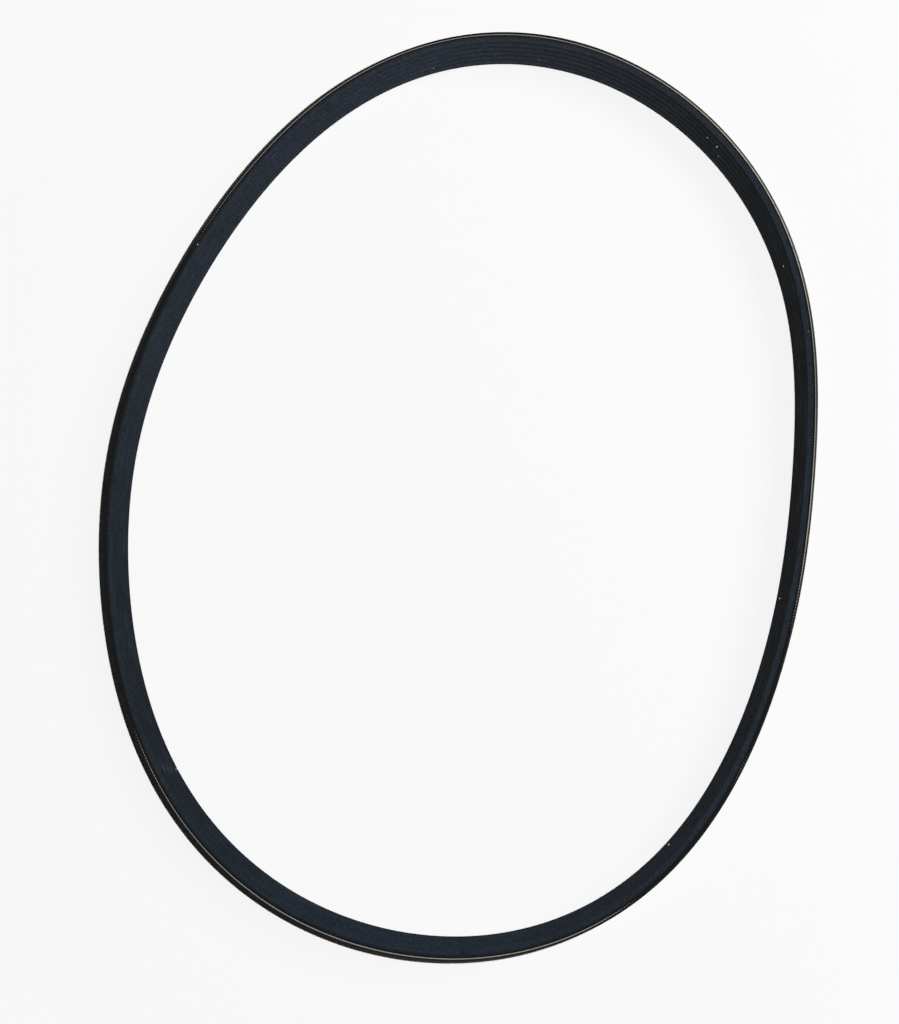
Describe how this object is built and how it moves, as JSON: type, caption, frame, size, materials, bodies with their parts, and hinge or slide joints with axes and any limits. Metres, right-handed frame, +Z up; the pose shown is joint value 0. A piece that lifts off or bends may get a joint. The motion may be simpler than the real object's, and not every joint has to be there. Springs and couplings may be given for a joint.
{
  "type": "serpentine belt",
  "caption": "Flexible ribbed rubber drive belt in a loose egg-shaped loop, ribs inward, that carries power between grooved pulleys.",
  "frame": {"origin": "middle of the loop's bounding box, on the plane that the lower cut edge stands on", "axes": "+Z up along the belt's width; +Y along the long way of the loop; +X to the right, seen from above"},
  "size_m": [0.3246, 0.424, 0.0214],
  "materials": {
    "belt_rubber": "matt blue-black rubber with short fibres in the ribs and sawn edges",
    "tensile_cord": "twisted pale grey cord, cut and rubbed with rubber dust",
    "lint": "loose pale fluff"
  },
  "bodies": {
    "root": {"belt": "belt_rubber"}
  },
  "joints": []
}
